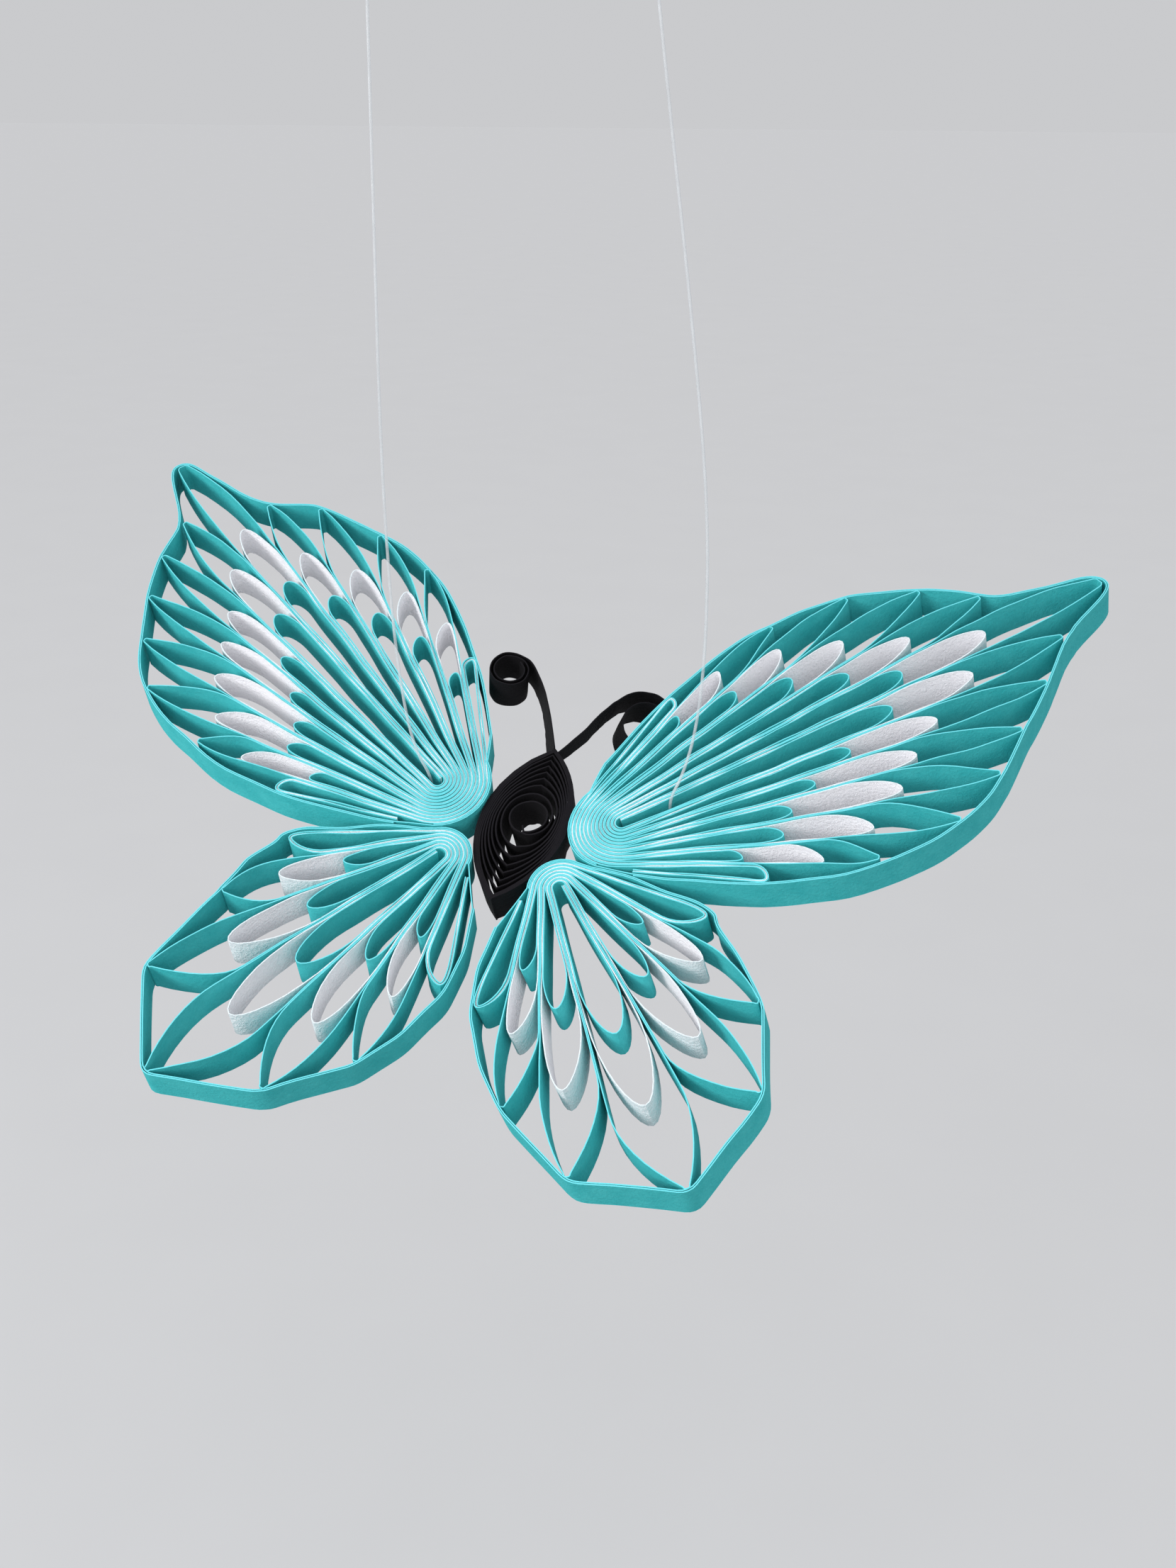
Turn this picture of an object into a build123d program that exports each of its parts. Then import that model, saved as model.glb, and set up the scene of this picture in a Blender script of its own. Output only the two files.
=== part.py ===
from build123d import *
from dataclasses import dataclass
from math import asin, ceil, cos, degrees, hypot, pi, radians, sin, sqrt, tan
import os

# Quilled paper butterfly, in millimetres, hung from two lines with its head up.
# Every strip of paper stands on edge, so each one is a thin ribbon extruded by its width.
# It is laid out flat first: +X to the viewer's right, +Y to the head, +Z to the viewer,
# with the front edges of the strips at z = 0 and the centre of the body at the origin.

# Paper and winding
STRIP_WIDTH = 5.0
PAPER = 0.14
PITCH = 0.17
CORE_RADIUS = 0.8
LAYERS = 3
FREE_END = 3.0

# Facets of the rounded stretches
TURN_FACETS = 8
CAP_FACETS = 2
COIL_FACETS = 8
LINE_SIDES = 6

# How the butterfly is set
DIHEDRAL = 5.9
NOSE_UP = 32.2
ROLL = 3.4
HANG_DROP = 112.0

# Body
BODY_HALF_LENGTH = 12.35
BODY_HALF_WIDTH = 6.05
BODY_TURNS = 10
BODY_CENTRE = (0.12, 0.06)
BODY_LEAN = 3.2
RING_CENTRE = (0.6, 1.05)
RING_RADIUS = 2.65
RING_FLAP = (-0.35, 0.85)
RING_STEP = 0.25
POINTING = 1.6

# Antennae: tilts of their planes, and stems from the head to the start of the coils
LEFT_TILT = 10
RIGHT_TILT = 22.5
LEFT_STEM = [
    (0.7, 12.45), (-0.45, 15.3), (-1.39, 17.54), (-2.3, 19.45), (-3.27, 21.33), (-4.45, 23.1),
    (-6.05, 25.15),
]
RIGHT_STEM = [
    (1.55, 12.02), (3.0, 14.69), (4.19, 17.55), (5.37, 20.59), (6.56, 23.04), (8.0, 25.35), (10.1, 26.7),
]

# Coils of the antennae: centre, starting angle, turns and the radii at the start and the end
LEFT_COIL = ((-8.85, 23.4), 60, 1.6, (3.0, 2.4))
RIGHT_COIL = ((12.0, 21.75), 85, -1.35, (5.1, 2.7))

# Routes of the two lines, from inside the wings to the knots, measured from the body's centre
LEFT_LINE = [
    (-14.2, 3.7, 1.5), (-13.8, 2.2, 4.0), (-15.3, 1.2, 7.4), (-16.6, 0.8, 13.5), (-17.7, 0.4, 26.0),
    (-18.2, 0.3, 48.0), (-17.8, 0.4, 78.0), (-17.5, 0.5, 105.0),
]
RIGHT_LINE = [
    (18.3, 5.7, 1.0), (18.3, 4.2, 3.5), (20.0, 4.8, 7.0), (21.6, 5.4, 13.5), (22.5, 5.75, 25.0),
    (22.3, 5.7, 43.0), (19.6, 4.8, 68.0), (17.0, 3.9, 89.0), (15.2, 3.3, 105.0),
]

# Lines
LINE_DIAMETER = 0.4
KNOT_DIAMETER = 1.2
KNOT_LENGTH = 1.6
LOOP_LENGTH = 7.0
LOOP_WIDTH = 3.6
ARC_SHARE = 0.45
# Half of the loop, as shares of its half width and of its reach
LOOP_HALF = [(0.45, 0.35), (0.85, 0.56), (1.0, 0.74), (0.9, 0.88), (0.55, 0.97), (0, 1)]

# Loop tips of one upper wing, from the antenna to the lower wing, about the centre of its root.
# Each row holds the outer loop's angle and length, then the angle of the white and inner loops
# and their two lengths. Angles are in degrees from straight outward, positive to the head.
UPPER_PETALS = [
    (84.9, 21.1, 84.9, 20.9, 20.7),
    (70.3, 36.4, 73.0, 27.0, 18.0),
    (61.8, 45.0, 63.3, 33.5, 24.7),
    (53.6, 52.3, 54.2, 39.6, 30.6),
    (46.6, 56.7, 46.5, 45.8, 36.1),
    (40.0, 71.4, 41.2, 54.6, 42.0),
    (35.1, 61.3, 35.3, 49.1, 37.7),
    (29.3, 57.2, 29.3, 42.5, 30.6),
    (22.7, 52.3, 23.3, 38.7, 25.1),
    (15.5, 47.8, 16.6, 35.9, 21.7),
    (6.9, 42.7, 7.0, 32.3, 21.0),
    (-2.8, 33.0, -3.2, 26.7, 16.8),
    (-14.8, 21.3, -14.8, 21.1, 20.9),
]
LOWER_PETALS = [
    (-6.5, 19.8, -6.5, 19.6, 19.4),
    (-24.6, 29.2, -24.8, 21.2, 12.3),
    (-38.1, 38.3, -40.6, 28.5, 18.0),
    (-55.7, 44.6, -56.7, 33.3, 23.0),
    (-72.9, 38.6, -72.3, 28.3, 17.5),
    (-87.3, 30.0, -87.4, 21.0, 12.3),
    (-103.8, 19.2, -103.8, 19.0, 18.8),
]

# Places where a border runs clear of the loop tips, as angles and distances from the root
UPPER_BORDER = [
    (117, 10.2), (94, 17.2), (84.9, 22.5), (79, 28.3), (74, 33.6), (66.5, 41.3), (57.3, 49.6),
    (50, 55.3), (44.4, 60.8), (42.2, 67.2), (41.0, 71.1), (38.9, 72.0), (37.8, 69.8),
    (32.3, 60.2), (26, 55.9), (19, 51.2), (11, 46.4), (2, 39.6),
    (-9, 29.9), (-23, 19.2), (-43, 11.4), (-66, 8.35),
]
LOWER_BORDER = [
    (43, 4.65), (16.5, 9.0), (3.2, 13.7), (-1, 18.4), (-4.5, 20.7), (-8, 21.2), (-15, 24.3),
    (-31, 33.8), (-47, 41.8), (-64, 42.6), (-80, 34.9), (-96, 25.8), (-107, 20.4), (-118, 14.7),
    (-133, 9.3),
]

# Ends of the loops: where a pointed loop starts to close, as a share of the white loop's length,
# half the width of its tip, and how far the curve follows its legs and then its tip
CLOSE_SHARE = 0.97
HALF_TIP = 0.15
POINTED_LEG_SHARE = 0.5
POINTED_TIP_SHARES = (0.28, 0.3)
ROUND_LEG_SHARE = 0.6
ROUND_TIP_SHARE = 0.62

# Distances that keep glued neighbours just touching
TIP_CLEARANCE = 0.55
BORDER_PITCH = 0.21


@dataclass
class WingPlan:
    """One wing's loops and border, with the directions of its first and last legs."""
    petals: list
    border: list
    first_leg: float
    last_leg: float
    closing: float


UPPER = WingPlan(UPPER_PETALS, UPPER_BORDER, 67, 2.5, 1.5)
LOWER = WingPlan(LOWER_PETALS, LOWER_BORDER, -14, -96.5, 2.6)

# Each wing's plan, the side it is on and where its root's centre is
WINGS = {
    "upper_left_wing": (UPPER, -1, (-12.95, 3.5)),
    "upper_right_wing": (UPPER, 1, (13.2, 1.5)),
    "lower_left_wing": (LOWER, -1, (-9.0, -7.55)),
    "lower_right_wing": (LOWER, 1, (7.65, -9.3)),
}


def polar(length, angle):
    """Point at a distance and an angle in degrees."""
    return (length * cos(radians(angle)), length * sin(radians(angle)))


def moved(point, step, scale=1.0):
    """Point plus a scaled step."""
    return (point[0] + step[0] * scale, point[1] + step[1] * scale)


def dot(a, b):
    return a[0] * b[0] + a[1] * b[1]


def bezier(p0, p1, p2, p3, t):
    """Point of a cubic curve."""
    u = 1 - t
    weights = (u**3, 3 * u * u * t, 3 * u * t * t, t**3)
    return tuple(sum(w * p[i] for w, p in zip(weights, (p0, p1, p2, p3))) for i in (0, 1))


def offset_path(path, distance):
    """The path moved sideways to its left, with mitred corners."""
    result = []
    for i, point in enumerate(path):
        before = path[i - 1] if i else None
        after = path[i + 1] if i + 1 < len(path) else None
        normals = []
        for start, end in ((before, point), (point, after)):
            if start and end:
                length = hypot(end[0] - start[0], end[1] - start[1])
                normals.append(((start[1] - end[1]) / length, (end[0] - start[0]) / length))
        mean = moved(normals[0], normals[-1])
        result.append(moved(point, mean, distance / (1 + dot(normals[0], normals[-1])) if len(normals) > 1
                            else distance / 2))
    return result


def strip(path):
    """A strip of paper standing on edge along a flat path."""
    outline = offset_path(path, PAPER / 2) + offset_path(path, -PAPER / 2)[::-1]
    return extrude(make_face(Polyline(*outline, close=True)), amount=-STRIP_WIDTH, dir=(0, 0, 1))


def turn_radius(turn, layer):
    """Radius of a layer of the bundle in one of its turns round the root."""
    return CORE_RADIUS + (LAYERS * (turn - 1) + layer + 0.5) * PITCH


def turn_point(radius, corner):
    """Corner of a turn: all turns share the directions of their corners, so they nest."""
    step = 360 / TURN_FACETS
    return polar(radius / cos(radians(step / 4)), corner * step)


class Leg:
    """One side of a loop: a straight run from a turn round the root towards the loop's tip."""

    def __init__(self, plan, petal, upper, rank):
        middle = len(plan.petals) // 2
        steps = middle - petal
        self.head_side = steps > 0 or (steps == 0 and upper)
        if steps > 0:
            self.turn = 2 * steps if upper else 2 * steps - 1
            self.layer = rank if upper else 2 - rank
        else:
            self.turn = -2 * steps if upper else 1 - 2 * steps
            self.layer = 2 - rank if upper and steps else rank
        self.direction = leg_direction(plan, petal - 1 if upper else petal)
        self.normal = self.direction + (90 if self.head_side else 270)
        if self.turn:
            corner = turn_point(turn_radius(self.turn, self.layer), round(self.normal * TURN_FACETS / 360))
            offset = dot(corner, polar(1, self.normal))
        else:
            offset = CORE_RADIUS + (self.layer - 2.5) * PITCH
        self.start = polar(offset, self.normal)

    def point(self, axis, along):
        """Point of the leg at a distance along an axis from the root."""
        run = (along - dot(self.start, axis)) / dot(polar(1, self.direction), axis)
        return moved(self.start, polar(run, self.direction))


def leg_direction(plan, gap):
    """Direction of the legs packed between petal gap and the next one."""
    petals = plan.petals
    if gap < 0:
        return plan.first_leg
    if gap >= len(petals) - 1:
        return plan.last_leg
    middle = len(petals) // 2
    side = 1 if gap < middle else -1
    turns = 2 * (middle - 1 - gap) if side > 0 else 2 * (gap - middle) + 1
    offset = CORE_RADIUS + LAYERS * turns * PITCH
    angle = (petals[gap][2] + petals[gap + 1][2]) / 2
    distance = (petals[gap][3] + petals[gap + 1][3]) / 2
    return angle - side * degrees(asin(offset / distance))


def loop_end(plan, petal, rank, legs):
    """Points round the end of a loop, from the end of its first leg to the end of its second."""
    outer_angle, outer_length, angle, white_length, inner_length = plan.petals[petal]
    if rank == 2:
        angle = outer_angle
    length = (inner_length, white_length, outer_length)[rank]
    axis = polar(1, angle)
    across = polar(1, angle + 90)
    if rank == 2 and not is_plain(plan, petal):
        close_at = CLOSE_SHARE * white_length
        tip = polar(length, angle)
        half_tip = HALF_TIP
        leg_share = POINTED_LEG_SHARE
    else:
        ends = [leg.point(axis, length) for leg in legs]
        half = abs(dot(ends[0], across) - dot(ends[1], across)) / 2
        close_at = length - plan.closing * half
        ends = [leg.point(axis, close_at) for leg in legs]
        centre = (dot(ends[0], across) + dot(ends[1], across)) / 2
        tip = moved(polar(length, angle), across, centre)
        half_tip = 0.0
        leg_share = ROUND_LEG_SHARE
    reach = length - close_at
    sides = []
    for leg in legs:
        base = leg.point(axis, close_at)
        lateral = dot(moved(base, tip, -1), across)
        towards = 1 if lateral > 0 else -1
        end = moved(tip, across, towards * half_tip)
        handle = moved(base, polar(reach * leg_share, leg.direction))
        if half_tip:
            back, out = POINTED_TIP_SHARES
            hold = moved(moved(end, axis, -back * reach), across, out * lateral)
        else:
            hold = moved(tip, across, ROUND_TIP_SHARE * lateral)
        steps = [i / CAP_FACETS for i in range(CAP_FACETS + 1)]
        sides.append([bezier(base, handle, hold, end, t) for t in steps])
    first, second = sides
    if not half_tip:
        second = second[:-1]
    return first + second[::-1]


def is_plain(plan, petal):
    """The first and last loops are plain: all the strips turn round together."""
    return petal in (0, len(plan.petals) - 1)


def petal_order(count):
    """Loops in the order they are wound: the middle one, then by turns on either side."""
    middle = count // 2
    order = [middle]
    for step in range(1, middle + 1):
        order += [middle - step, middle + step]
    return order


def loop_strip(plan, start_rank):
    """Path of one strip of the bundle through every loop of a wing."""
    path = []
    last = None
    for number, petal in enumerate(petal_order(len(plan.petals))):
        rank = start_rank if number % 2 == 0 else 2 - start_rank
        legs = [Leg(plan, petal, upper, rank) for upper in (True, False)]
        if number and petal < len(plan.petals) // 2:
            legs.reverse()
        if last is None:
            path.append(legs[0].start)
        else:
            radius = turn_radius(last.turn, last.layer)
            corners = [round(leg.normal * TURN_FACETS / 360) for leg in (last, legs[0])]
            step = 1 if corners[1] > corners[0] else -1
            path += [turn_point(radius, corner) for corner in range(corners[0], corners[1] + step, step)]
        if is_plain(plan, petal):
            outer_legs = [Leg(plan, petal, upper, 2) for upper in (True, False)]
            inward = -1
            if legs[0].direction != outer_legs[0].direction:
                outer_legs.reverse()
                inward = 1
            path += offset_path(loop_end(plan, petal, 2, outer_legs), inward * (2 - rank) * PITCH)
        else:
            path += loop_end(plan, petal, rank, legs)
        last = legs[1]
    path.append(moved(last.start, polar(FREE_END, last.direction)))
    return path


def border_strip(plan):
    """Path of the border: two rounds of one strip about the loops and the root."""
    turns = len(plan.petals)
    tips = [(angle, length + TIP_CLEARANCE) for angle, length, *_ in plan.petals[1:-1]]
    outline = [polar(length, angle) for angle, length in sorted(tips + plan.border, reverse=True)]
    first = round((plan.first_leg + 90) * TURN_FACETS / 360)
    last = round((plan.last_leg + 270) * TURN_FACETS / 360)
    path = []
    for lift in (0, BORDER_PITCH):
        radius = turn_radius(turns, 0) + lift
        path += [turn_point(radius, corner) for corner in range(last - 1, first - 1, -1)]
        path += offset_path(outline, lift)
        path.append(turn_point(radius, last))
    return path


def place_wing(path, side, root):
    """A wing's strip on its side of the body, raised by the dihedral."""
    mirrored = [(root[0] + side * x, root[1] + y) for x, y in path]
    return Rot(0, -side * DIHEDRAL, 0) * strip(mirrored)


def pointed_oval(wave, side, half_width, half_length):
    """Point on one of the two arcs of the body's outline."""
    radius = (half_length**2 + half_width**2) / (2 * half_width)
    y = wave * half_length
    return (side * (sqrt(radius**2 - y**2) - radius + half_width), y)


def body_point(turn):
    """Point of the body's roll after a number of turns, from a ring to a pointed oval."""
    grown = max(turn - 1, 0) / (BODY_TURNS - 1)
    ring = RING_RADIUS + RING_STEP * min(turn, 1)
    half_width = ring + (BODY_HALF_WIDTH - ring) * grown
    half_length = ring + (BODY_HALF_LENGTH - ring) * grown
    angle = 360 * turn - 90
    around = polar(1, angle)
    side = 1 if around[0] > 0 else -1
    pointed = pointed_oval(asin(around[1]) * 2 / pi, side, half_width, half_length)
    share = min(POINTING * grown, 1)
    rounded = (half_width * around[0], half_length * around[1])
    point = [pointed[i] * share + rounded[i] * (1 - share) for i in (0, 1)]
    return moved(point, RING_CENTRE, 1 - grown)


def body_roll():
    """The body: one black strip rolled from an open ring outward, its inner end bent in."""
    flap = moved(body_point(0), RING_FLAP)
    turns = [body_point(i / COIL_FACETS) for i in range(COIL_FACETS * BODY_TURNS + 1)]
    return strip([flap] + turns)


def coil(centre, start_angle, turns, radii):
    """Points of a coil that winds inward; negative turns go clockwise."""
    facets = ceil(abs(turns) * COIL_FACETS)
    points = []
    for i in range(facets + 1):
        radius = radii[0] + (radii[1] - radii[0]) * i / facets
        points.append(moved(centre, polar(radius, start_angle + 360 * turns * i / facets)))
    return points


def antenna(stem, curl, tilt):
    """A strip that twists by a tilt along its stem, then curls up in the tilted plane."""
    foot = stem[0]
    sections = []
    for i, point in enumerate(stem[:-1]):
        before = stem[i - 1] if 0 < i < len(stem) - 2 else point
        after = stem[i + 1]
        angle = tilt * i / (len(stem) - 2)
        along = Vector(after[0] - before[0], after[1] - before[1], 0).rotate(Axis.Y, angle)
        across = Vector(before[1] - after[1], after[0] - before[0], 0).rotate(Axis.Y, angle)
        place = Vector(point[0] - foot[0], point[1] - foot[1], 0).rotate(Axis.Y, angle) + Vector(*foot, 0)
        plane = Plane(origin=place, x_dir=across, z_dir=along)
        sections.append(plane * Rectangle(PAPER, STRIP_WIDTH, align=(Align.CENTER, Align.MAX)))
    tilted = Pos(foot[0], foot[1], 0) * Rot(0, tilt, 0) * Pos(-foot[0], -foot[1], 0)
    return loft(sections, ruled=True) + tilted * strip(stem[-2:] + curl)


def arc_radii(route):
    """Radius of the arc at each inner point of a line's route, from the shorter run beside it."""
    radii = []
    for before, point, after in zip(route, route[1:], route[2:]):
        arriving = Vector(*point) - Vector(*before)
        leaving = Vector(*after) - Vector(*point)
        half_turn = radians(arriving.get_angle(leaving)) / 2
        radii.append(ARC_SHARE * min(arriving.length, leaving.length) / tan(half_turn))
    return radii


def hanging_line(route):
    """A clear line from inside a wing up to its knot."""
    path = FilletPolyline(*route, radius=arc_radii(route))
    section = Plane(origin=path @ 0, z_dir=path % 0) * RegularPolygon(LINE_DIAMETER / 2, LINE_SIDES)
    return sweep(section, path=path)


def line_loop(route):
    """The tied loop that a line ends in, with its knot below, in line with the line's last run."""
    knot = extrude(RegularPolygon(KNOT_DIAMETER / 2, LINE_SIDES), KNOT_LENGTH)
    ends = knot.faces().sort_by(Axis.Z)
    knot = chamfer(ends[0].edges() + ends[-1].edges(), KNOT_DIAMETER / 4)
    reach = LOOP_LENGTH - LINE_DIAMETER / 2
    half = Polyline((0, 0, KNOT_LENGTH / 2), *[(x * LOOP_WIDTH / 2, 0, z * reach) for x, z in LOOP_HALF])
    section = Plane(origin=half @ 0, z_dir=half % 0) * RegularPolygon(LINE_DIAMETER / 2, LINE_SIDES)
    side = sweep(section, path=half, transition=Transition.RIGHT)
    run = Vector(*route[-1]) - Vector(*route[-2])
    return Plane(origin=route[-1], x_dir=(1, 0, 0), z_dir=run) * (knot + side + mirror(side, Plane.YZ))


HUNG = Pos(0, 0, -HANG_DROP) * Rot(NOSE_UP, 0, 0) * Rot(0, ROLL, 0)

parts = {}
for name, (plan, side, root) in WINGS.items():
    for strip_name, start_rank in (("_first_teal_strip", 2), ("_white_strip", 1), ("_second_teal_strip", 0)):
        parts[name + strip_name] = HUNG * place_wing(loop_strip(plan, start_rank), side, root)
    parts[name + "_border_strip"] = HUNG * place_wing(border_strip(plan), side, root)

parts["body_roll"] = HUNG * Pos(*BODY_CENTRE, 0) * Rot(0, 0, -BODY_LEAN) * body_roll()
for side_name, stem, curl, tilt in (
        ("left", LEFT_STEM, coil(*LEFT_COIL), LEFT_TILT),
        ("right", RIGHT_STEM, coil(*RIGHT_COIL), RIGHT_TILT)):
    parts[side_name + "_antenna"] = HUNG * antenna(stem, curl, tilt)

for side_name, route in (("left", LEFT_LINE), ("right", RIGHT_LINE)):
    lowered = [(x, y, z - HANG_DROP) for x, y, z in route]
    parts[side_name + "_line"] = hanging_line(lowered)
    parts[side_name + "_line_loop"] = line_loop(lowered)
    print(side_name, "line radii", [round(radius, 1) for radius in arc_radii(lowered)])

os.makedirs("parts", exist_ok=True)
for name, part in parts.items():
    part.label = name
    export_step(part, f"parts/{name}.step")
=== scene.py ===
from math import asin, atan2, ceil, cos, degrees, pi, radians, sin, sqrt

import bpy
from mathutils import Matrix, Vector, noise


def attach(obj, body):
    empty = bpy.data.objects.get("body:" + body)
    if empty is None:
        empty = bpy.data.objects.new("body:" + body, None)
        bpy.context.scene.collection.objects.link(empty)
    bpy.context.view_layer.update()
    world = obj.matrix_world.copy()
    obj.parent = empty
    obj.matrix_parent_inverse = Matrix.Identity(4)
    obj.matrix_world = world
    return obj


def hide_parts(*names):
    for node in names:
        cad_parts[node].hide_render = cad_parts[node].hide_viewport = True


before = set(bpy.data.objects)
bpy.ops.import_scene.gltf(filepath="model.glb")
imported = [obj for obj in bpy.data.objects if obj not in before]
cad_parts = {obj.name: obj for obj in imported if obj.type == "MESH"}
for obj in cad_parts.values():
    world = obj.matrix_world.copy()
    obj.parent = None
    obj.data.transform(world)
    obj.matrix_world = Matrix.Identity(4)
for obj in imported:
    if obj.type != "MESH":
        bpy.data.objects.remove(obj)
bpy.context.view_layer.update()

# The butterfly is worked out flat and in millimetres, front edges of the paper at z = 0 and the
# middle of the body at the origin, and is then turned and hung in metres as the frame says.
MM = 0.001
DIHEDRAL = 5.9
HUNG = Matrix.Translation((0, 0, -112 * MM)) @ Matrix.Rotation(radians(32.2), 4, "X")
HUNG = HUNG @ Matrix.Rotation(radians(3.4), 4, "Y") @ Matrix.Scale(MM, 4)

# Paper
STRIP_WIDTH = 5.0
PAPER = 0.14
ANTENNA_PAPER = 0.16
BODY_PAPER = 0.21
ROWS = 5
EDGE_SHARE = 0.03
CREASE = 35

# Unevenness of handwork: how far the loops sway, how much a strip leans, and how far its edges
# rise and fall, each with the length of its waves, and how far the strips are set back so that
# their highest places stay level with the frame's. The seed makes it the same in each run.
NOISE_SEED = 1
SWAY, SWAY_WAVE = 0.12, 7
LEAN, LEAN_WAVE, LEAN_SEED = 0.014, 9, 40
LIFT, LIFT_WAVE = 0.26, 5
SETTLED = 0.08
WHITE_SETTLED = 0.17
BLACK_LEAN_WAVE, BLACK_LEAN_SEED = 1.1, 20
BLACK_LIFT, BLACK_LIFT_WAVE = 0.16, 1.8
BLACK_SETTLED = 0.06

# Winding of the wings: the bundle's layers round the core of a root
PITCH = 0.17
CORE_RADIUS = 0.8
LAYERS = 3
FREE_END = 3.0
TURN_STEP = 9
LEG_STEP = 1.6

# Tips of the loops: where a pointed loop starts to close, as a share of the white loop's length,
# and how far each curve leaves its leg and comes up to its tip, as shares of its reach and width
CAP_STEPS = 8
TIP_RADIUS = 0.4
TIP_LONGER = 0.3
TIP_ANGLES = (30, 60)
CLOSE_SHARE = 0.97
POINTED_LEG_SHARE = 0.3
POINTED_TIP_SHARES = (0.3, 0.6)
ROUND_LEG_SHARE = 0.52
ROUND_TIP_SHARE = 0.56

# Border: its distance from the loop tips and between its two rounds, how far from its outline it
# goes round the root, in degrees, and the share of a side that a rounded corner takes at most
TIP_CLEARANCE = 0.7
BORDER_LIFT = 0.21
ROOT_ENTRY, ROOT_EXIT = 38, 24
CORNER_SHARE = 0.45
CORNER_STEPS = 4

# Loop tips of one upper wing, from the antenna to the lower wing, about the centre of its root:
# the outer loop's angle and length, then the angle of the white and inner loops and their lengths.
UPPER_PETALS = [
    (84.9, 21.1, 84.9, 20.9, 20.7),
    (70.3, 36.4, 73.0, 27.0, 18.0),
    (61.8, 45.0, 63.3, 33.5, 24.7),
    (53.6, 52.3, 54.2, 39.6, 30.6),
    (46.6, 56.7, 46.5, 45.8, 36.1),
    (40.0, 71.4, 41.2, 54.6, 42.0),
    (35.1, 61.3, 35.3, 49.1, 37.7),
    (29.3, 57.2, 29.3, 42.5, 30.6),
    (22.7, 52.3, 23.3, 38.7, 25.1),
    (15.5, 47.8, 16.6, 35.9, 21.7),
    (6.9, 42.7, 7.0, 32.3, 21.0),
    (-2.8, 33.0, -3.2, 26.7, 16.8),
    (-14.8, 21.3, -14.8, 21.1, 20.9),
]
LOWER_PETALS = [
    (-6.5, 19.8, -6.5, 19.6, 19.4),
    (-24.6, 29.2, -24.8, 21.2, 12.3),
    (-38.1, 38.3, -40.6, 28.5, 18.0),
    (-55.7, 44.6, -56.7, 33.3, 23.0),
    (-72.9, 38.6, -72.3, 28.3, 17.5),
    (-87.3, 30.0, -87.4, 21.0, 12.3),
    (-103.8, 19.2, -103.8, 19.0, 18.8),
]

# Places where a border runs clear of the loop tips, as angles and distances from the root
UPPER_BORDER = [
    (117, 10.2), (94, 17.2), (84.9, 22.5), (79, 28.3), (74, 33.6), (66.5, 41.3), (57.3, 49.6),
    (50, 55.3), (44.4, 60.4), (42.2, 66.8), (41.1, 71.1), (38.9, 71.8), (37.8, 69.4),
    (11, 46.3), (2, 39.6), (-9, 30.0), (-23, 19.2), (-43, 11.4), (-66, 8.35),
]
LOWER_BORDER = [
    (43, 4.65), (16.5, 9.0), (3.2, 13.7), (-1, 18.4), (-4.5, 20.7), (-8, 21.2), (-15, 24.6),
    (-96, 25.8), (-107, 20.4), (-118, 14.7), (-133, 9.3),
]

# How much longer the outer loops of each wing are than those of the tables, by their angles,
# because the wings of a pair were made by hand and differ
UPPER_LEFT_REACH = [
    (84, 0.0), (69, 0.6), (61, -0.2), (53, 0.6), (45, 0.0), (39, 0.1), (34, -0.3), (29, 0.7),
    (22, 1.1), (15, 0.8), (8, 0.8), (-2, 0.0),
]
UPPER_RIGHT_REACH = [
    (71, 0.0), (62, 0.7), (54, 0.0), (47, 0.6), (41, -0.4), (35, 0.7), (30, -0.2), (23, -0.9),
    (16, -0.4), (6, -0.5), (-2, 0.1),
]
LOWER_LEFT_REACH = [
    (-15, 0.0), (-25, -1.7), (-38, 0.3), (-56, 0.4), (-73, -0.7), (-87, 0.3), (-104, 0.0),
]
LOWER_RIGHT_REACH = [
    (-12, 0.0), (-25, 2.0), (-38, 1.1), (-56, 0.3), (-73, 1.1), (-87, 0.6), (-104, 0.0),
]


class Wing:
    """One pair of wings: its loops and border, the directions of its first and last legs, how
    early its loops close by their ranks, the radii of its blunt tips by their loops, the loops
    that the border passes by, and the reach of the border's rounded corners."""

    def __init__(self, petals, border, first_leg, last_leg, closing, blunt, free_tips, rounding):
        self.petals = petals
        self.border = border
        self.first_leg = first_leg
        self.last_leg = last_leg
        self.closing = closing
        self.blunt = blunt
        self.free_tips = free_tips
        self.rounding = rounding
        self.middle = len(petals) // 2


UPPER = Wing(
    UPPER_PETALS, UPPER_BORDER, first_leg=68.3, last_leg=1.2, closing=(2.4, 3.4, 1.8),
    blunt={5: 0.9}, free_tips=(11,), rounding=3.5)
LOWER = Wing(
    LOWER_PETALS, LOWER_BORDER, first_leg=-14, last_leg=-96.5, closing=(2.8, 3.2, 2.6),
    blunt={}, free_tips=(), rounding=1.4)

# Each wing's side, the centre of its root, its turn about the root towards the head and its reach
WINGS = {
    "upper_left_wing": (-1, (-12.95, 3.5), -0.7, UPPER_LEFT_REACH),
    "upper_right_wing": (1, (13.2, 1.5), 0.6, UPPER_RIGHT_REACH),
    "lower_left_wing": (-1, (-9.0, -7.55), -1.7, LOWER_LEFT_REACH),
    "lower_right_wing": (1, (7.65, -9.3), 0.8, LOWER_RIGHT_REACH),
}


def polar(length, angle):
    """Vector of a length at an angle in degrees."""
    return Vector((length * cos(radians(angle)), length * sin(radians(angle))))


def bezier(p0, p1, p2, p3, t):
    """Point at a share of a curve from the first point to the last."""
    u = 1 - t
    return p0 * u**3 + p1 * (3 * u * u * t) + p2 * (3 * u * t * t) + p3 * t**3


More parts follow.
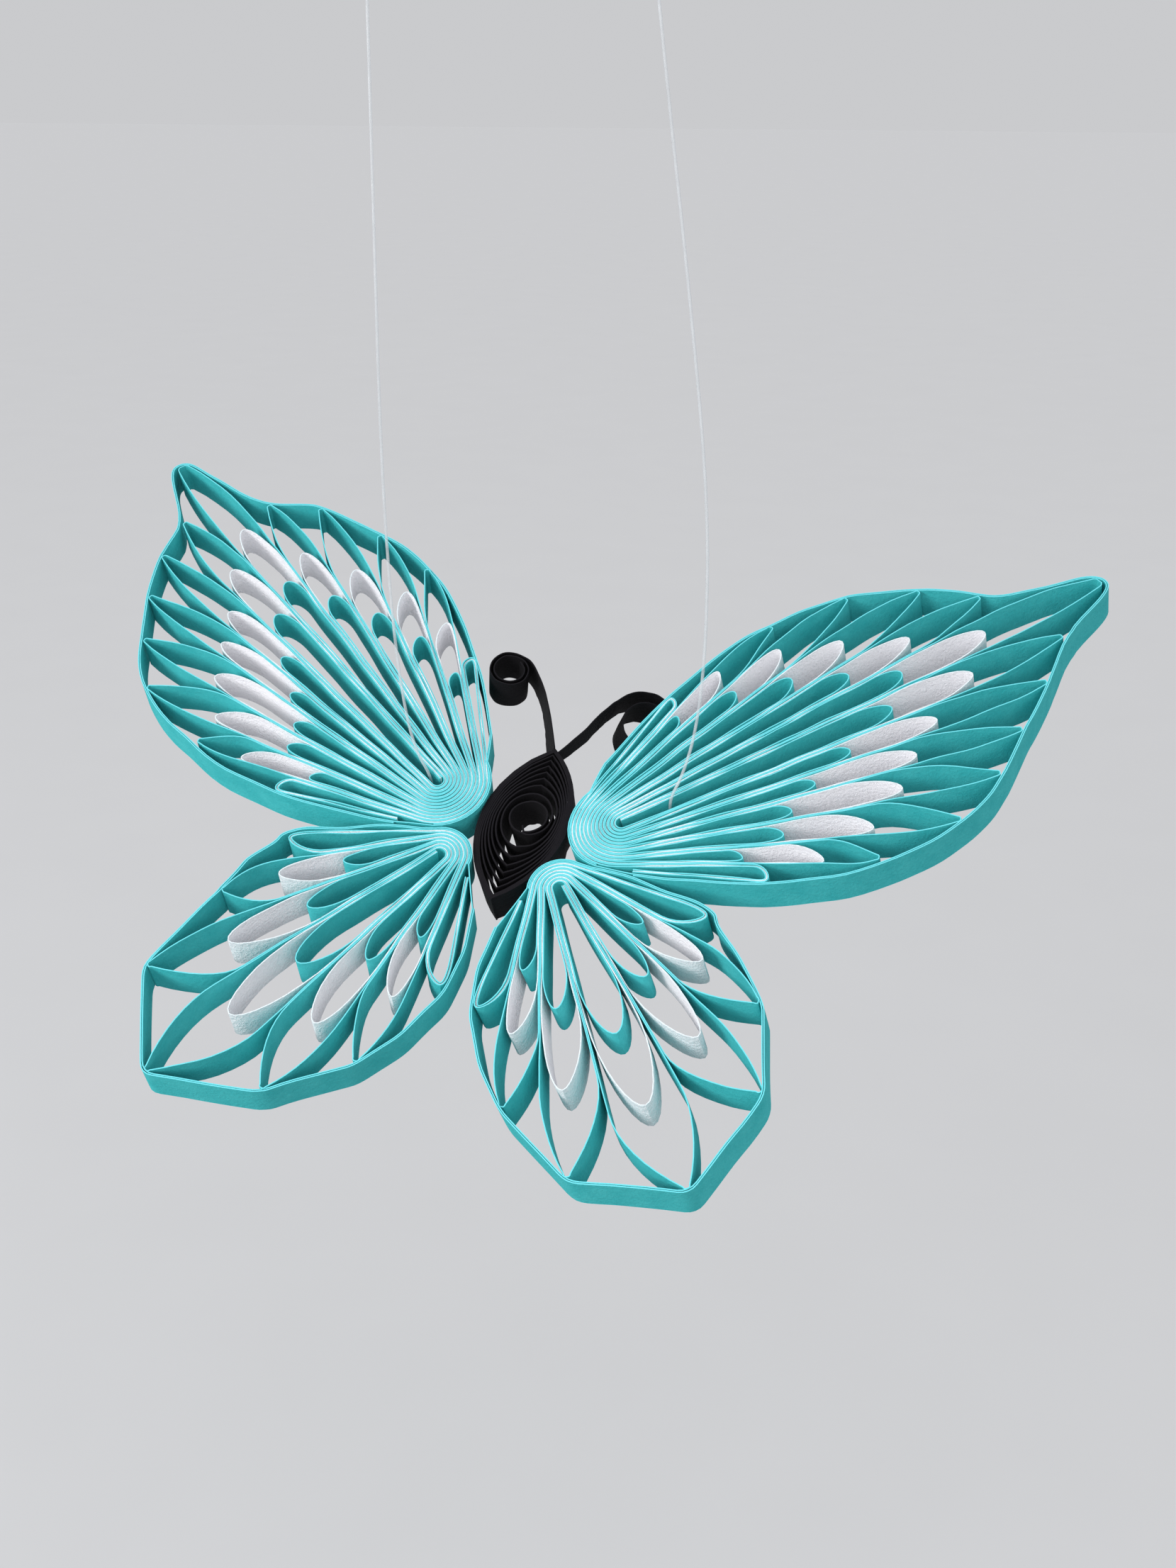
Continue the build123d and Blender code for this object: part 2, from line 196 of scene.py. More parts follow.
def offset_path(path, distance):
    """The path moved sideways to its left, with mitred corners."""
    result = []
    for i, point in enumerate(path):
        normals = []
        for start, end in zip(path[max(i - 1, 0):i + 1], path[max(i, 1):i + 2]):
            run = (end - start).normalized()
            normals.append(Vector((-run.y, run.x)))
        share = distance / (1 + normals[0].dot(normals[-1]))
        result.append(point + (normals[0] + normals[-1]) * share)
    return result


def divided(path, step):
    """The path with points added so that none of its runs is longer than a step."""
    result = [path[0]]
    for start, end in zip(path, path[1:]):
        parts = max(1, ceil((end - start).length / step))
        result += [start.lerp(end, i / parts) for i in range(1, parts + 1)]
    return result


def turn_radius(turn, layer):
    """Radius of a layer of the bundle in one of its turns round the root."""
    return CORE_RADIUS + (LAYERS * (turn - 1) + layer + 0.5) * PITCH


class Leg:
    """One side of a loop: a straight run from a turn round the root towards the loop's tip."""

    def __init__(self, wing, petal, upper, rank):
        steps = wing.middle - petal
        head_side = steps > 0 or (steps == 0 and upper)
        if steps > 0:
            self.turn = 2 * steps if upper else 2 * steps - 1
            self.layer = rank if upper else 2 - rank
        else:
            self.turn = -2 * steps if upper else 1 - 2 * steps
            self.layer = 2 - rank if upper and steps else rank
        self.direction = leg_direction(wing, petal - 1 if upper else petal)
        self.normal = self.direction + (90 if head_side else 270)
        if self.turn:
            offset = turn_radius(self.turn, self.layer)
        else:
            offset = CORE_RADIUS + (self.layer - 2.5) * PITCH
        self.start = polar(offset, self.normal)

    def point(self, axis, along):
        """Point of the leg at a distance along an axis from the root."""
        run = (along - self.start.dot(axis)) / polar(1, self.direction).dot(axis)
        return self.start + polar(run, self.direction)


def leg_direction(wing, gap):
    """Direction of the legs packed between petal gap and the next one."""
    petals = wing.petals
    if gap < 0:
        return wing.first_leg
    if gap >= len(petals) - 1:
        return wing.last_leg
    side = 1 if gap < wing.middle else -1
    turns = 2 * (wing.middle - 1 - gap) if side > 0 else 2 * (gap - wing.middle) + 1
    offset = CORE_RADIUS + LAYERS * turns * PITCH
    angle = (petals[gap][2] + petals[gap + 1][2]) / 2
    distance = (petals[gap][3] + petals[gap + 1][3]) / 2
    return angle - side * degrees(asin(offset / distance))


def is_plain(wing, petal):
    """The first and last loops are plain: all the strips turn round together."""
    return petal in (0, len(wing.petals) - 1)


def loop_end(wing, petal, rank, legs):
    """Points round the end of a loop, from the end of its first leg to the end of its second."""
    outer_angle, outer_length, angle, white_length, inner_length = wing.petals[petal]
    length = (inner_length, white_length, outer_length)[rank]
    if rank == 2:
        angle = outer_angle
    axis = polar(1, angle)
    across = polar(1, angle + 90)
    pointed = rank == 2 and not is_plain(wing, petal)
    tip_radius = wing.blunt.get(petal, TIP_RADIUS)
    if pointed:
        length += TIP_LONGER
        close_at = CLOSE_SHARE * white_length
        tip = axis * length
    else:
        ends = [leg.point(axis, length) for leg in legs]
        half = abs(ends[0].dot(across) - ends[1].dot(across)) / 2
        close_at = length - wing.closing[rank] * half
        ends = [leg.point(axis, close_at) for leg in legs]
        tip = axis * length + across * ((ends[0].dot(across) + ends[1].dot(across)) / 2)
    reach = length - close_at
    sides = []
    for leg in legs:
        base = leg.point(axis, close_at)
        lateral = (base - tip).dot(across)
        towards = 1 if lateral > 0 else -1
        if pointed:
            end = tip - axis * tip_radius + across * (towards * tip_radius)
            handle = base + polar(reach * POINTED_LEG_SHARE, leg.direction)
            back, aside = POINTED_TIP_SHARES
            hold = end - axis * (back * reach) + across * (aside * lateral)
        else:
            end = tip
            handle = base + polar(reach * ROUND_LEG_SHARE, leg.direction)
            hold = tip + across * (ROUND_TIP_SHARE * lateral)
        side = [bezier(base, handle, hold, end, i / CAP_STEPS) for i in range(CAP_STEPS + 1)]
        if pointed:
            for step in TIP_ANGLES:
                bow = Vector((sin(radians(step)), cos(radians(step)) * towards)) * tip_radius
                side.append(tip - axis * tip_radius + axis * bow.x + across * bow.y)
        sides.append(side)
    first, second = sides
    if not pointed:
        second = second[:-1]
    return first + second[::-1]


def arc(radius, start_angle, end_angle):
    """Points of an arc about the root."""
    steps = max(1, ceil(abs(end_angle - start_angle) / TURN_STEP))
    angles = [start_angle + (end_angle - start_angle) * i / steps for i in range(steps + 1)]
    return [polar(radius, angle) for angle in angles]


def loop_strip(wing, start_rank):
    """Path of one strip of the bundle: the middle loop, then by turns on either side."""
    order = [wing.middle]
    for step in range(1, wing.middle + 1):
        order += [wing.middle - step, wing.middle + step]
    path = []
    last = None
    for number, petal in enumerate(order):
        rank = start_rank if number % 2 == 0 else 2 - start_rank
        legs = [Leg(wing, petal, upper, rank) for upper in (True, False)]
        if number and petal < wing.middle:
            legs.reverse()
        if last is None:
            path.append(legs[0].start)
        else:
            path += arc(turn_radius(last.turn, last.layer), last.normal, legs[0].normal)
        if is_plain(wing, petal):
            outer = [Leg(wing, petal, upper, 2) for upper in (True, False)]
            inward = -1
            if legs[0].direction != outer[0].direction:
                outer.reverse()
                inward = 1
            path += offset_path(loop_end(wing, petal, 2, outer), inward * (2 - rank) * PITCH)
        else:
            path += loop_end(wing, petal, rank, legs)
        last = legs[1]
    path.append(last.start + polar(FREE_END, last.direction))
    return divided(path, LEG_STEP)


def rounded(path, reach):
    """The path with each corner replaced by a short curve."""
    result = [path[0]]
    for before, corner, after in zip(path, path[1:], path[2:]):
        first = corner + (before - corner) * min(CORNER_SHARE, reach / (before - corner).length)
        last = corner + (after - corner) * min(CORNER_SHARE, reach / (after - corner).length)
        for i in range(CORNER_STEPS + 1):
            t = i / CORNER_STEPS
            result.append(first * (1 - t) ** 2 + corner * (2 * t * (1 - t)) + last * t * t)
    return result + [path[-1]]


def border_strip(wing):
    """Path of the border: two rounds of one strip about the loops and the root."""
    turns = len(wing.petals)
    tips = [(angle, length + TIP_CLEARANCE) for i, (angle, length, *_) in enumerate(wing.petals)
            if not is_plain(wing, i) and i not in wing.free_tips]
    outline = [polar(length, angle) for angle, length in sorted(tips + wing.border, reverse=True)]
    top = degrees(atan2(outline[0].y, outline[0].x))
    bottom = degrees(atan2(outline[-1].y, outline[-1].x))
    path = []
    for lift in (0, BORDER_LIFT):
        radius = turn_radius(turns, 0) + lift
        path += arc(radius, bottom + 360 - ROOT_ENTRY, top + ROOT_EXIT)
        path += rounded(offset_path(outline, lift), wing.rounding)
    return divided(path, LEG_STEP)


# The body's roll: its outer turns lie close at a pitch, and its inner ones grow from the ring to
# their oval with the powers of widening and lengthening
BODY_HALF_LENGTH = 12.35
BODY_HALF_WIDTH = 6.05
BODY_TURNS = 11
BODY_LOOSE_TURNS = 8
BODY_PITCH = 0.225
BODY_STEPS = 40
WIDENING = 0.55
LENGTHENING = 0.75
POINTING = 1.6
RING_CENTRE = Vector((0.3, 0.95))
RING_RADIUS = 2.35
RING_STEP = 0.25
RING_FLAP = Vector((-0.35, 0.85))
BODY_SEED = 7
BODY_UNEVENNESS = 0.06
BODY_TAPER = 0.022
BODY_CENTRE = Vector((0.12, 0.06, 0))
BODY_TURN = 3.2

# The antennae: the points of a stem, then its coil's centre, first angle, turns and the radii at
# its two ends. A tilt turns the strip's width over on the way from the foot to the coil, and the
# foot is a share as wide as the rest and leans aside.
SPLINE_STEPS = 6
COIL_POINTS = 8
ANTENNA_UNEVENNESS = 0.02
LEFT_STEM = [
    (0.7, 12.45), (-0.45, 15.3), (-1.39, 17.54), (-2.3, 19.45), (-3.27, 21.33), (-4.45, 23.1),
    (-6.05, 25.15),
]
LEFT_COIL = ((-8.85, 23.4), 60, 2.0, (3.0, 1.9))
LEFT_TILT, LEFT_FOOT, LEFT_ASIDE = 10, 1.0, 0.32
RIGHT_STEM = [
    (1.3, 11.85), (2.9, 14.6), (4.19, 17.55), (5.37, 20.59), (6.56, 23.04), (8.0, 25.35),
    (10.1, 26.7),
]
RIGHT_COIL = ((12.0, 21.75), 85, -1.6, (5.1, 2.4))
RIGHT_TILT, RIGHT_FOOT, RIGHT_ASIDE = 22.5, 0.4, 0


def body_point(turn):
    """Point of the body's roll after a number of turns, from a ring to a pointed oval."""
    loose = min(turn, BODY_LOOSE_TURNS)
    wall = BODY_PITCH * (BODY_TURNS - max(turn, BODY_LOOSE_TURNS))
    share = max(loose - 1, 0) / (BODY_LOOSE_TURNS - 1)
    grown = share**LENGTHENING
    ring = RING_RADIUS + RING_STEP * min(turn, 1)
    half_width = ring + (BODY_HALF_WIDTH - wall - ring) * share**WIDENING
    half_length = ring + (BODY_HALF_LENGTH - wall - ring) * grown
    around = polar(1, 360 * turn - 90)
    radius = (half_length**2 + half_width**2) / (2 * half_width)
    y = asin(around.y) * 2 / pi * half_length
    bulge = sqrt(radius**2 - y**2) - radius + half_width
    pointed = Vector((bulge if around.x > 0 else -bulge, y))
    sharp = min(POINTING * grown, 1)
    oval = Vector((half_width * around.x, half_length * around.y))
    return pointed * sharp + oval * (1 - sharp) + RING_CENTRE * (1 - grown)


def body_path():
    """Path of the body's strip from the loose flap inside its ring to its outer end."""
    flap = body_point(0) + RING_FLAP
    return [flap] + [body_point(i / BODY_STEPS) for i in range(BODY_STEPS * BODY_TURNS + 1)]


def spline(points):
    """Smooth curve through the points."""
    points = [Vector(p) for p in points]
    path = []
    for i in range(len(points) - 1):
        p0 = points[max(i - 1, 0)]
        p1, p2 = points[i:i + 2]
        p3 = points[min(i + 2, len(points) - 1)]
        for k in range(SPLINE_STEPS):
            share = k / SPLINE_STEPS
            path.append(bezier(p1, p1 + (p2 - p0) / 6, p2 - (p3 - p1) / 6, p2, share))
    return path + [points[-1]]


def antenna_path(stem, centre, start_angle, turns, radii):
    """Path of an antenna up its stem and round its coil."""
    count = ceil(abs(turns) * COIL_POINTS)
    curl = []
    for i in range(count + 1):
        radius = radii[0] + (radii[1] - radii[0]) * i / count
        curl.append(Vector(centre) + polar(radius, start_angle + 360 * turns * i / count))
    return spline(stem + curl)


# Modelling
def select_only(piece):
    bpy.ops.object.select_all(action="DESELECT")
    piece.select_set(True)
    bpy.context.view_layer.objects.active = piece


def copied(piece, name):
    select_only(piece)
    bpy.ops.object.duplicate()
    copy = bpy.context.object
    copy.name = copy.data.name = name
    return copy


def ribbon(name, path):
    """A strip of paper on edge: a line drawn along the path, extruded across its width in rows."""
    bpy.ops.object.select_all(action="DESELECT")
    bpy.ops.curve.primitive_bezier_curve_add(location=(0, 0, 0))
    piece = bpy.context.object
    piece.name = piece.data.name = name
    piece.data.splines.clear()
    line = piece.data.splines.new("POLY")
    line.points.add(len(path) - 1)
    for point, place in zip(line.points, path):
        point.co = (place.x, place.y, 0, 1)
    bpy.ops.object.convert(target="MESH")
    piece = bpy.context.object
    bpy.ops.object.mode_set(mode="EDIT")
    bpy.ops.mesh.select_all(action="SELECT")
    shares = [0, EDGE_SHARE] + [i / ROWS for i in range(1, ROWS)] + [1 - EDGE_SHARE, 1]
    for before, after in zip(shares, shares[1:]):
        step = (0, 0, (before - after) * STRIP_WIDTH)
        bpy.ops.mesh.extrude_region_move(TRANSFORM_OT_translate={"value": step})
    bpy.ops.object.mode_set(mode="OBJECT")
    unwrap(piece, path, shares)
    return piece


def unwrap(piece, path, shares):
    """UV map of a ribbon: along it in millimetres, and across it from 0 at the front to 1."""
    along = [0.0]
    for start, end in zip(path, path[1:]):
        along.append(along[-1] + (end - start).length)
    layer = piece.data.uv_layers.new(name="Strip")
    for corner in piece.data.loops:
        row, place = divmod(corner.vertex_index, len(path))
        layer.data[corner.index].uv = (along[place], shares[row])


def thicken(piece, paper):
    """Gives a ribbon the thickness of its paper, half to either side."""
    wall = piece.modifiers.new("Paper", "SOLIDIFY")
    wall.thickness = paper
    wall.offset = 0
    select_only(piece)
    bpy.ops.object.modifier_apply(modifier=wall.name)
    bpy.ops.object.shade_smooth_by_angle(angle=radians(CREASE))


def turn_inside_out(piece):
    select_only(piece)
    bpy.ops.object.mode_set(mode="EDIT")
    bpy.ops.mesh.select_all(action="SELECT")
    bpy.ops.mesh.flip_normals()
    bpy.ops.object.mode_set(mode="OBJECT")


def put(piece, place):
    """Moves a piece to its place in its mesh, and leaves its object unturned at the origin."""
    select_only(piece)
    piece.matrix_world = place
    bpy.ops.object.transform_apply(location=True, rotation=True, scale=True)


def settle(piece, node, finish):
    """Gives a piece its finish, hangs it on what it rides on and hides the node it stands for."""
    piece.data.materials.clear()
    piece.data.materials.append(finish)
    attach(piece, "root")
    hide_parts(node)


def roughen(piece, seed, lean, taper=0):
    """Small rises and dips along the edges of a black strip, which also leans a little here and
    there, and closes in towards its rear edge."""
    for vertex in piece.data.vertices:
        x, y, z = vertex.co
        lift = noise.noise(Vector((x / BLACK_LIFT_WAVE, y / BLACK_LIFT_WAVE, seed)))
        aside = noise.noise_vector(
            Vector((x / BLACK_LEAN_WAVE, y / BLACK_LEAN_WAVE, seed + BLACK_LEAN_SEED)))
        x = x * (1 + taper * z) + lean * aside.x * z
        vertex.co = (x, y + lean * aside.y * z, z - BLACK_SETTLED + BLACK_LIFT * lift)


def interpolated(table, angle):
    """Value at an angle from a table of angles, largest first, and their values."""
    if angle >= table[0][0]:
        return table[0][1]
    for (high, before), (low, after) in zip(table, table[1:]):
        if angle >= low:
            return after + (before - after) * (angle - low) / (high - low)
    return table[-1][1]


def stretched(place, tips, reach):
    """A place of a wing moved out or in by as much as the loops at its angle are longer."""
    angle = degrees(atan2(place.y, place.x))
    share = min(place.length / interpolated(tips, angle), 1)
    return place + place.normalized() * (interpolated(reach, angle) * share**2)


def place_wing_strip(piece, name, petals, seed, depth):
    """A wing's strip with the small unevenness of handwork: all strips sway together, and each
    one stands a little higher or lower and leans in its own way."""
    side, root, turn, reach = WINGS[name]
    tips = [petal[:2] for petal in petals]
    turned = Matrix.Rotation(radians(turn), 2)
    for vertex in piece.data.vertices:
        z = vertex.co.z
        x, y = turned @ stretched(vertex.co.xy, tips, reach)
        sway = noise.noise_vector(Vector((x / SWAY_WAVE, y / SWAY_WAVE, side + root[1])))
        lift = noise.noise(Vector((x / LIFT_WAVE, y / LIFT_WAVE, seed)))
        lean = noise.noise(Vector((x / LEAN_WAVE, y / LEAN_WAVE, seed + LEAN_SEED)))
        x += SWAY * sway.x + LEAN * lean * z
        y += SWAY * sway.y + LEAN * lean * z
        vertex.co = (root[0] + side * x, root[1] + y, z - depth + LIFT * lift)
    if side < 0:
        turn_inside_out(piece)
    thicken(piece, PAPER)
    put(piece, HUNG @ Matrix.Rotation(radians(-side * DIHEDRAL), 4, "Y"))


# Finishes
class Socket:
    """A shader value that adds its Math nodes as the expression on it is worked out."""

    def __init__(self, recipe, output):
        self.recipe = recipe
        self.output = output

    def maths(self, operation, *values):
        return self.recipe.node("ShaderNodeMath", values, operation=operation)

    def __add__(self, other):
        return self.maths("ADD", self, other)

    def __sub__(self, other):
        return self.maths("SUBTRACT", self, other)

    def __rsub__(self, other):
        return self.maths("SUBTRACT", other, self)

    def __mul__(self, other):
        return self.maths("MULTIPLY", self, other)

    __radd__ = __add__
    __rmul__ = __mul__

    def size(self):
        return self.maths("ABSOLUTE", self)

    def kept(self):
        """The value kept between 0 and 1."""
        return self.recipe.node("ShaderNodeClamp", [self])


class Recipe:
    """The nodes of a finish or of the world."""

    def __init__(self, tree):
        self.nodes = tree.nodes
        self.links = tree.links

    def node(self, kind, values=(), out=0, **settings):
        made = self.nodes.new(kind)
        for setting, value in settings.items():
            setattr(made, setting, value)
        pairs = values.items() if isinstance(values, dict) else enumerate(values)
        for key, value in pairs:
            if isinstance(value, Socket):
                self.links.new(value.output, made.inputs[key])
            else:
                made.inputs[key].default_value = value
        return Socket(self, made.outputs[out])

    def coordinates(self, kind):
        """A place on the surface, by the object or by its UV map."""
        return self.node("ShaderNodeTexCoord", out=kind)

    def grain(self, place, scale, detail=2.0):
        """Noise from 0 to 1 with about so many spots in a metre."""
        return self.node("ShaderNodeTexNoise", {"Vector": place, "Scale": scale, "Detail": detail})

    def blend(self, factor, first, second):
        """Colour from the first, at 0, to the second, at 1."""
        values = {0: factor, 6: first, 7: second}
        return self.node("ShaderNodeMix", values, out=2, data_type="RGBA")

    def seen(self):
        """1 where a surface is looked at, also in a gloss or through a clear thing."""
        ways = [self.node("ShaderNodeLightPath", out=f"Is {way} Ray")
                for way in ("Camera", "Glossy", "Transmission")]
        return (ways[0] + ways[1] + ways[2]).kept()


class Finish(Recipe):
    """A material with a Principled shader."""

    def __init__(self, name, roughness, specular):
        self.material = bpy.data.materials.new(name)
        self.material.use_nodes = True
        super().__init__(self.material.node_tree)
        self.shader = self.nodes["Principled BSDF"]
        self.shader.inputs["Roughness"].default_value = roughness
        self.shader.inputs["Specular IOR Level"].default_value = specular

    def feed(self, name, value):
        self.links.new(value.output, self.shader.inputs[name])


def paper_finish(name, face, shade, edge, depth):
    """Matte paper: mottled, grainy faces and a slightly ragged cut edge of its own colour."""
    finish = Finish(name, roughness=0.85, specular=0.2)
    place = finish.coordinates("Object")
    across = finish.node("ShaderNodeSeparateXYZ", [finish.coordinates("UV")], out="Y")
    fibres = finish.grain(place, FIBRES, 3.0)
    tooth = finish.grain(place, TOOTH)
    clouds = finish.grain(place, CLOUDS)
    mottle = (0.7 * fibres + 0.6 * tooth + 0.9 * clouds - 0.6).kept()
    from_middle = 2.0 * (across - 0.5).size()
    rim = (RIM_SHARPNESS * (from_middle - RIM_START + RIM_RAGGEDNESS * tooth)).kept()
    finish.feed("Base Color", finish.blend(rim, finish.blend(mottle, shade, face), edge))
    finish.feed("Roughness", 0.75 + 0.2 * tooth)
    height = 0.5 * fibres + tooth
    bump = finish.node("ShaderNodeBump", {"Strength": 0.9, "Distance": depth, "Height": height})
    finish.feed("Normal", bump)
    return finish.material


def line_finish():
    """Clear nylon, cloudier in places, with fine scuffs."""
    finish = Finish("Clear line", roughness=0.15, specular=0.5)
    place = finish.coordinates("Object")
    cloud = finish.grain(place, LINE_CLOUDS)
    scuffs = finish.grain(place, LINE_SCUFFS)
    finish.feed("Base Color", finish.blend(cloud, linear(206, 210, 214), linear(232, 234, 236)))
    finish.feed("Alpha", 0.25 + 0.3 * cloud)
    finish.feed("Roughness", 0.05 + 0.3 * scuffs)
    return finish.material


def floor_finish():
    """A pale floor that shows a soft shadow, at a brightness of its own where it is looked at."""
    finish = Finish("Pale floor", roughness=0.9, specular=0.1)
    patches = finish.grain(finish.coordinates("Object"), FLOOR_PATCHES)
    finish.feed("Base Color", finish.blend(patches, FLOOR_LOW, FLOOR_HIGH))
    finish.shader.inputs["Emission Strength"].default_value = 1.0
    finish.feed("Emission Color", finish.blend(finish.seen(), (0, 0, 0, 1), FLOOR_GLOW))
    return finish.material


def linear(r, g, b):
    """Colour written as it looks on the screen, from 0 to 255, turned to linear values."""
    return tuple((value / 255) ** 2.2 for value in (r, g, b)) + (1,)


# Spots in a metre of the patterns on the paper, on the lines and on the floor
FIBRES, TOOTH, CLOUDS = 6800.0, 2300.0, 380.0
LINE_CLOUDS, LINE_SCUFFS = 700.0, 5200.0
FLOOR_PATCHES = 40.0

# The cut edge's colour: how far from the middle of the strip it starts, as a share of half its
# width, how much the start wanders and how sharp it is
RIM_START = 0.988
RIM_RAGGEDNESS = 0.016
RIM_SHARPNESS = 120.0

FLOOR_LOW = (0.20, 0.20, 0.205, 1)
FLOOR_HIGH = (0.22, 0.22, 0.225, 1)
FLOOR_GLOW = (0.42, 0.42, 0.425, 1)
BACKGROUND = (0.59, 0.595, 0.61, 1)
SKYLIGHT = (0.93, 0.96, 1.0, 1)

TEAL = paper_finish(
    "Teal paper", face=linear(82, 200, 202), shade=linear(52, 174, 178),
    edge=linear(112, 218, 226), depth=0.00008)
WHITE = paper_finish(
    "White paper", face=linear(250, 249, 251), shade=linear(244, 243, 247),
    edge=linear(228, 237, 240), depth=0.0002)
BLACK = paper_finish(
    "Black paper", face=linear(21, 19, 23), shade=linear(11, 10, 13),
    edge=linear(27, 25, 29), depth=0.00006)
CLEAR = line_finish()

# Camera, at the place from which the photograph was taken
optics = bpy.data.cameras.new("Camera")
optics.sensor_width = 36
optics.lens = 41.8
optics.clip_start = 0.005
camera = bpy.data.objects.new("Camera", optics)
bpy.context.collection.objects.link(camera)
camera.matrix_world = Matrix((
    (0.948792, -0.114385, 0.294465, 0.077113),
    (0.315900, 0.346305, -0.883335, -0.204671),
    (-0.000935, 0.931122, 0.364705, -0.021140),
    (0, 0, 0, 1),
))
bpy.context.scene.camera = camera

# Lines, by the route that the frame's tubes follow
LINE_DIAMETER = 0.0004
LEFT_LINE = [
    (-14.2, 3.7, -110.5), (-13.8, 2.2, -108.0), (-15.3, 1.2, -104.6), (-16.6, 0.8, -98.5),
    (-17.7, 0.4, -86.0), (-18.2, 0.3, -64.0), (-17.8, 0.4, -34.0), (-17.5, 0.5, -7.0),
]
RIGHT_LINE = [
    (18.3, 5.7, -111.0), (18.3, 4.2, -108.5), (20.0, 4.8, -105.0), (21.6, 5.4, -98.5),
    (22.5, 5.75, -87.0), (22.3, 5.7, -69.0), (19.6, 4.8, -44.0), (17.0, 3.9, -23.0),
    (15.2, 3.3, -7.0),
]

# The tied loop at the top of a line, in millimetres above the line's end: half of the loop as
# shares of its half width and its reach, the distance of its two runs from the middle of the knot,
# the knot's wraps, and the cut tail
LOOP_REACH = 6.8
LOOP_WIDTH = 3.6
LOOP_HALF = [(0.45, 0.35), (0.85, 0.56), (1.0, 0.74), (0.9, 0.88), (0.55, 0.97)]
RUN_ASIDE = 0.15
KNOT_RADIUS = 0.38
KNOT_FOOT = 0.2
KNOT_WRAPS = 4
WRAP_RISE = 0.3
WRAP_POINTS = 8
TAIL = [(0.9, 0.35, 1.75), (1.5, 0.5, 2.1)]


def drawn_line(name, points):
    """A round line along the points, whose control points they are."""
    bpy.ops.object.select_all(action="DESELECT")
    bpy.ops.curve.primitive_nurbs_path_add(location=(0, 0, 0))
    piece = bpy.context.object
    piece.name = piece.data.name = name
    curve = piece.data
    curve.splines.clear()
    line = curve.splines.new("NURBS")
    line.points.add(len(points) - 1)
    for point, place in zip(line.points, points):
        point.co = (*[value * MM for value in place], 1)
    line.order_u = 3
    line.use_endpoint_u = True
    line.resolution_u = 12
    curve.bevel_depth = LINE_DIAMETER / 2
    curve.bevel_resolution = 3
    curve.use_fill_caps = True
    return piece


def tied_loop(name):
    """Up through the knot, round the loop, back down, and round both runs in close wraps."""
    half = [(x * LOOP_WIDTH / 2, 0, z * LOOP_REACH) for x, z in LOOP_HALF]
    points = [(0, 0, 0), (-RUN_ASIDE, 0, KNOT_FOOT)]
    points += [(-x, y, z) for x, y, z in half] + [(0, 0, LOOP_REACH)] + half[::-1]
    points.append((RUN_ASIDE, 0, KNOT_FOOT))
    for i in range(KNOT_WRAPS * WRAP_POINTS + 1):
        wrap = polar(KNOT_RADIUS, -90 + 360 * i / WRAP_POINTS)
        points.append((wrap.x, wrap.y, KNOT_FOOT + WRAP_RISE * i / WRAP_POINTS))
    piece = drawn_line(name, points + TAIL)
    bpy.ops.object.convert(target="MESH")
    bpy.ops.object.shade_smooth()
    return bpy.context.object


# The right loop is copied from the left one, finish and all, and then settled for its own node
left_loop = tied_loop("left_tied_loop")
settle(left_loop, "left_line_loop", CLEAR)
right_loop = copied(left_loop, "right_tied_loop")
settle(right_loop, "right_line_loop", CLEAR)
for side_name, route, loop in (
        ("left", LEFT_LINE, left_loop), ("right", RIGHT_LINE, right_loop)):
    line = drawn_line(side_name + "_line_nylon", route)
    settle(line, side_name + "_line", CLEAR)
    top = Vector(route[-1])
    run = (top - Vector(route[-2])).normalized()
    wide = (Vector((1, 0, 0)) - run * run.x).normalized()
    turned = Matrix((wide, run.cross(wide), run)).transposed().to_4x4()
    put(loop, Matrix.Translation(top * MM) @ turned)

noise.seed_set(NOISE_SEED)

# Wings
seed = 0
for pair, left_wing, right_wing in (
        (UPPER, "upper_left_wing", "upper_right_wing"),
        (LOWER, "lower_left_wing", "lower_right_wing")):
    for strip, path, finish, slot, depth in (
            ("_first_teal_strip", loop_strip(pair, 2), TEAL, "teal_paper", SETTLED),
            ("_white_strip", loop_strip(pair, 1), WHITE, "white_paper", WHITE_SETTLED),
            ("_second_teal_strip", loop_strip(pair, 0), TEAL, "teal_paper", SETTLED),
            ("_border_strip", border_strip(pair), TEAL, "teal_paper", SETTLED)):
        left = ribbon(left_wing + strip + "_paper", path)
        right = copied(left, right_wing + strip + "_paper")
        for piece, wing_name in ((left, left_wing), (right, right_wing)):
            seed += 1
            place_wing_strip(piece, wing_name, pair.petals, seed, depth)
            settle(piece, wing_name + strip, finish)

# Body
body = ribbon("body_paper", body_path())
roughen(body, BODY_SEED, BODY_UNEVENNESS, BODY_TAPER)
thicken(body, BODY_PAPER)
put(body, HUNG @ Matrix.Translation(BODY_CENTRE) @ Matrix.Rotation(radians(-BODY_TURN), 4, "Z"))
settle(body, "body_roll", BLACK)

